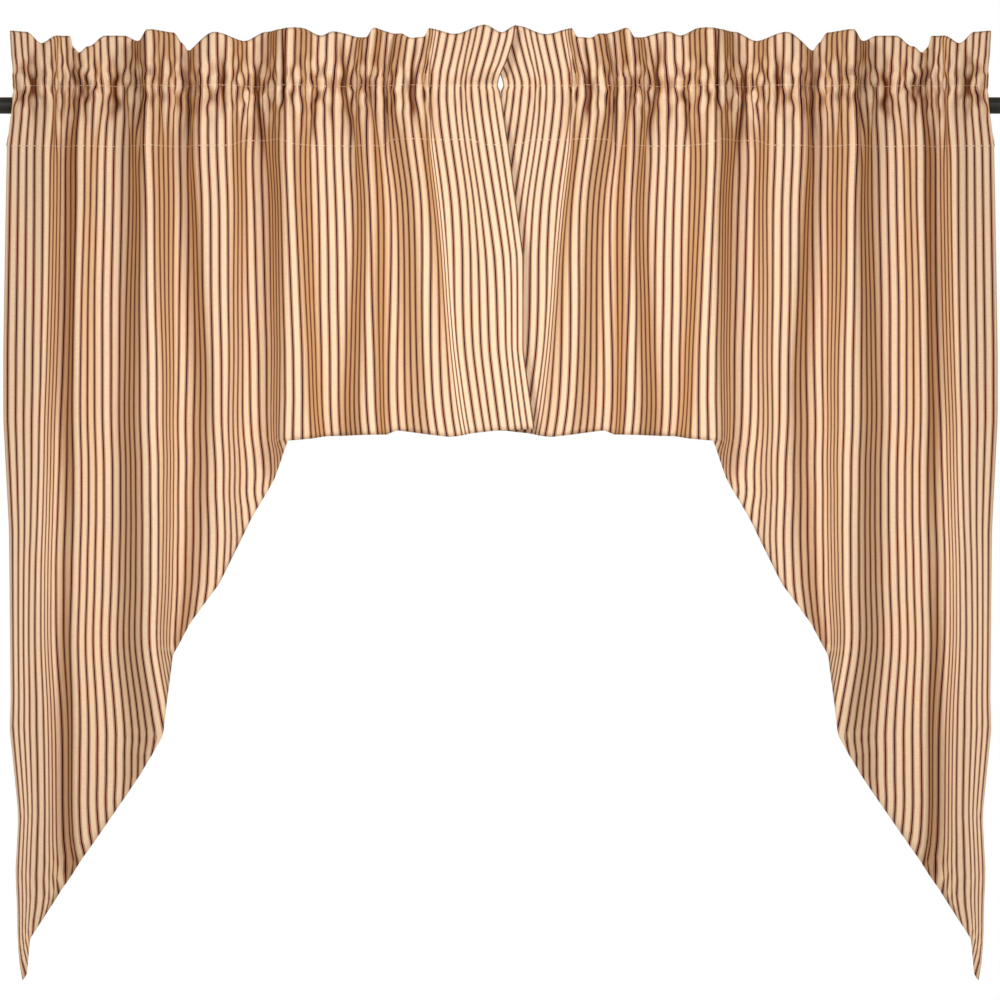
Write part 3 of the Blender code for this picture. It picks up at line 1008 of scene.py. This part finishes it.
    def body(self, stitch: ndarray) -> list[ndarray]:
        """Hang the single layer below the pocket, down to the hem.

        Args:
            stitch: Height of the lower line of stitches at each yarn.

        Returns:
            A row of points for each level.
        """
        hem = self.folds.hem_height(self.yarns)
        hung = []
        for share in np.linspace(0.0, 1.0, self.body_rows + 1):
            layer = -float(smooth(1.0 - share / self.layer_fade))
            hung.append(self.hang(stitch + share**self.body_spacing * (hem - stitch), layer, 0.0))
        return hung

    def build(self) -> Object:
        """Make the panel's cloth from an even grid, with a UV map of the flat cloth in metres.

        Returns:
            The cloth.
        """
        self.lay_out()
        steps = np.linalg.norm(np.diff(self.points, axis=0), axis=2)
        along = np.vstack((np.zeros(len(self.yarns)), np.cumsum(steps, axis=0)))
        along -= along[self.upper_row]
        shape = bmesh.new()
        bmesh.ops.create_grid(shape, x_segments=self.columns, y_segments=self.rows, size=1.0)
        flat = shape.loops.layers.uv.new("flat_cloth")
        # These two attributes hold shares of painted shade, which the ticking's material multiplies into
        # its colour: on steep flanks, and darker in the gathers' creases.
        steep = shape.verts.layers.float.new("steepness")
        crease_shade = shape.verts.layers.float.new("crease_shade")
        sunk = self.folds.read(self.folds.relief, self.yarns, self.points[:, :, 2]) / self.full_crease_shade_depth
        run = np.gradient(self.points, axis=1)
        steepness = np.abs(run[:, :, 1]) / np.linalg.norm(run, axis=2)
        places = {}
        for vertex in shape.verts:
            column = round((vertex.co.x + 1.0) * 0.5 * self.columns)
            row = round((1.0 - vertex.co.y) * 0.5 * self.rows)
            places[vertex.index] = (self.yarns[column] * self.folds.stripe, along[row, column])
            x, y, z = self.points[row, column]
            vertex.co = (self.side.value * x, y, z)
            vertex[steep] = steepness[row, column] ** 2
            vertex[crease_shade] = float(smooth(sunk[row, column]))
        for face in shape.faces:
            face.smooth = True
            for loop in face.loops:
                loop[flat].uv = places[loop.vert.index]
        if self.side is Side.RIGHT:
            bmesh.ops.reverse_faces(shape, faces=shape.faces)
        cloth = finish_mesh(shape, self.name)
        wall = cloth.modifiers.new("cloth thickness", "SOLIDIFY")
        wall.thickness = self.thickness
        wall.offset = 0.0
        cloth.data.materials.append(self.finish.make(f"striped_cotton_ticking_{self.side.label}"))
        return cloth

    def stitch(self) -> Object:
        """Sew the two lines of stitches of the heading, as short raised threads.

        Returns:
            Both lines as one piece.
        """
        shape = bmesh.new()
        for row in (self.upper_row, self.lower_row):
            line = self.points[row]
            facing = self.facing(row)
            lengths = np.concatenate(([0.0], np.cumsum(np.linalg.norm(np.diff(line, axis=0), axis=1))))
            pitch = self.stitch_length + self.stitch_gap
            for start in np.arange(pitch, lengths[-1] - pitch, pitch):
                self.sew(shape, line, facing, lengths, start)
        for vertex in shape.verts:
            vertex.co.x *= self.side.value
        if self.side is Side.RIGHT:
            bmesh.ops.reverse_faces(shape, faces=shape.faces)
        stitches = finish_mesh(shape, f"stitches_{self.side.label}")
        stitches.data.materials.append(self.thread.make(f"sewing_thread_{self.side.label}"))
        return stitches

    def facing(self, row: int) -> ndarray:
        """Unit directions out of the cloth's front along a row.

        Args:
            row: The row.

        Returns:
            A direction for each yarn.
        """
        run = np.gradient(self.points[row], axis=0)
        rise = self.points[row - 1] - self.points[row + 1]
        out = np.cross(run, rise)
        return out / np.linalg.norm(out, axis=1)[:, None]

    def sew(
        self, shape: BMesh, line: ndarray, facing: ndarray, lengths: ndarray, start: float
    ) -> None:
        """Add one stitch to a line.

        Args:
            shape: The mesh to add to.
            line: The line's points.
            facing: The direction out of the cloth at each point.
            lengths: How far along the line each point lies.
            start: Where the stitch starts along the line.
        """
        first, last, out = (
            Vector([np.interp(place, lengths, rows[:, axis]) for axis in range(3)])
            for place, rows in ((start, line), (start + self.stitch_length, line), (start, facing))
        )
        out.normalize()
        run = (last - first).normalized()
        over = run.cross(out).normalized()
        turn = Matrix((run, over, out)).transposed().to_4x4()
        half_length, half_width = 0.5 * self.stitch_length, 0.5 * self.stitch_width
        size = Matrix.Diagonal((half_length, half_width, self.stitch_rise * self.stitch_width, 1.0))
        centre = Matrix.Translation((first + last) * 0.5 + out * 0.5 * self.thickness)
        bmesh.ops.create_icosphere(shape, subdivisions=1, radius=1.0, matrix=centre @ turn @ size)

    def declare(self, cloth: Object, stitches: Object) -> None:
        """Hide the frame's own panel, which the cloth stands for, hang the cloth and stitches from the
        root body, and log the cloth's flat size.

        Args:
            cloth: The panel's cloth.
            stitches: The panel's stitches.
        """
        hem = self.folds.hem_height(self.yarns)
        turned = 2 * self.header_length + self.folds.upper_stitch - self.lowest_stitch
        width = self.folds.stripes * self.folds.stripe
        area = width * (turned + float(np.mean(-hem)))
        length = turned - self.folds.tip_height
        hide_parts(f"panel_{self.side.label}")
        for piece in (cloth, stitches):
            self.name
            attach(piece, "root")
        LOG.info("%s: flat %.3f by %.3f m, %.3f square metres", cloth.name, width, length, area)


def finish_mesh(shape: BMesh, name: str) -> Object:
    """Turn a bmesh into an object at the origin.

    Args:
        shape: The mesh, which is freed.
        name: The object's name.

    Returns:
        The object.
    """
    mesh = bpy.data.meshes.new(name)
    shape.to_mesh(mesh)
    shape.free()
    piece = bpy.data.objects.new(name, mesh)
    bpy.context.scene.collection.objects.link(piece)
    return piece


@dataclass
class CurtainRod:
    """The plain round rod that both pockets share, dressed where the frame holds it."""

    finish: PaintedSteelFinish

    def dress(self, rod: Object) -> None:
        """Give the rod its enamel.

        Args:
            rod: The frame's rod.
        """
        enamel = self.finish.make("satin_enamelled_steel")
        rod.data.materials.clear()
        rod.data.materials.append(enamel)
        LOG.info("%s: enamelled", rod.name)


@dataclass
class Studio:
    """A pale floor, soft light and the camera of the photograph."""

    pixel: float = 0.9646 * MM
    frame_pixels: int = 1000
    axis_row: float = 105.5
    middle_column: float = 500.5
    distance: float = 6.0
    sensor: float = 36.0
    floor_height: float = -1.05
    floor_size: float = 1.4
    floor_colour: str = "#F2F1EE"
    floor_roughness: float = 0.8
    softbox: float = 0.6
    front_place: Place = (0.0, -3.6, 0.3)
    front_target: Place = (0.0, 0.0, -0.5)
    front_power: float = 16.5
    side_place: Place = (-0.9, -1.6, 0.6)
    side_target: Place = (0.56, 0.0, -0.5)
    side_power: float = 2.8
    side_spread: float = 50.0
    room_light: float = 0.3
    room_tint: str = "#FFE8D2"

    def set_camera(self) -> None:
        """Look straight at the window, with the photograph's framing."""
        data = bpy.data.cameras.new("camera")
        data.sensor_width = self.sensor
        data.lens = self.sensor * self.distance / (self.frame_pixels * self.pixel)
        camera = bpy.data.objects.new("camera", data)
        half = 0.5 * self.frame_pixels
        across = (half - self.middle_column) * self.pixel
        height = (self.axis_row - half) * self.pixel
        camera.location = (across, -self.distance, height)
        camera.rotation_euler = (math.radians(90.0), 0.0, 0.0)
        bpy.context.scene.collection.objects.link(camera)
        bpy.context.scene.camera = camera

    def add_light(
        self, name: str, place: Place, target: Place, power: float, spread: float = 180.0
    ) -> None:
        """Add a soft square light.

        Args:
            name: The light's name.
            place: Where it stands.
            target: What it faces.
            power: Its power in watts.
            spread: How wide its beam opens, in degrees.
        """
        data = bpy.data.lights.new(name, "AREA")
        data.size = self.softbox
        data.energy = power
        data.spread = math.radians(spread)
        light = bpy.data.objects.new(name, data)
        light.location = place
        aim = Vector(target) - Vector(place)
        light.rotation_euler = aim.to_track_quat("-Z", "Y").to_euler()
        bpy.context.scene.collection.objects.link(light)

    def set_world(self) -> None:
        """Surround the object with even light, white to the eye and warmed by the room where it falls."""
        world = bpy.data.worlds.new("studio")
        world.use_nodes = True
        tree = world.node_tree
        surround = tree.nodes["Background"]
        seen = add_node(tree, "LightPath").outputs["Is Camera Ray"]
        warm, white = linear_colour(self.room_tint), linear_colour("#FFFFFF")
        tint = add_node(tree, "Mix", BLEND, in_0=seen, in_6=warm, in_7=white)
        level = add_node(tree, "MapRange", Value=seen, To_Min=self.room_light, To_Max=1.0)
        connect(tree, surround, Color=tint.outputs[2], Strength=level.outputs[0])
        bpy.context.scene.world = world

    def add_floor(self) -> None:
        """Lay a plain pale floor below the tails."""
        shape = bmesh.new()
        bmesh.ops.create_grid(shape, x_segments=1, y_segments=1, size=self.floor_size)
        bmesh.ops.translate(shape, verts=shape.verts, vec=(0.0, 0.0, self.floor_height))
        floor = finish_mesh(shape, "floor")
        material, tree, shader = new_material("pale_floor_paint")
        colour = linear_colour(self.floor_colour)
        connect(tree, shader, Base_Color=colour, Roughness=self.floor_roughness)
        floor.data.materials.append(material)

    def set_up(self) -> None:
        """Set the camera, the light and the floor."""
        self.set_camera()
        self.set_world()
        self.add_light("front softbox", self.front_place, self.front_target, self.front_power)
        for side in Side:
            spots = (self.side_place, self.side_target)
            place, target = ((x * side.value, y, z) for x, y, z in spots)
            self.add_light(f"{side.label} softbox", place, target, self.side_power, self.side_spread)
        self.add_floor()
        bpy.context.scene.view_settings.view_transform = "Standard"


def main() -> None:
    """Build every piece of the swag in order."""
    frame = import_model()
    folds = HungFolds()
    CurtainRod(PaintedSteelFinish()).dress(frame["nodes"]["rod"])
    for side in Side:
        panel = SwagPanel(side, folds, TickingFinish(), ThreadFinish())
        cloth = panel.build()
        stitches = panel.stitch()
        panel.declare(cloth, stitches)
    Studio().set_up()


if __name__ == "__main__":
    logging.basicConfig(level=logging.INFO)
    main()
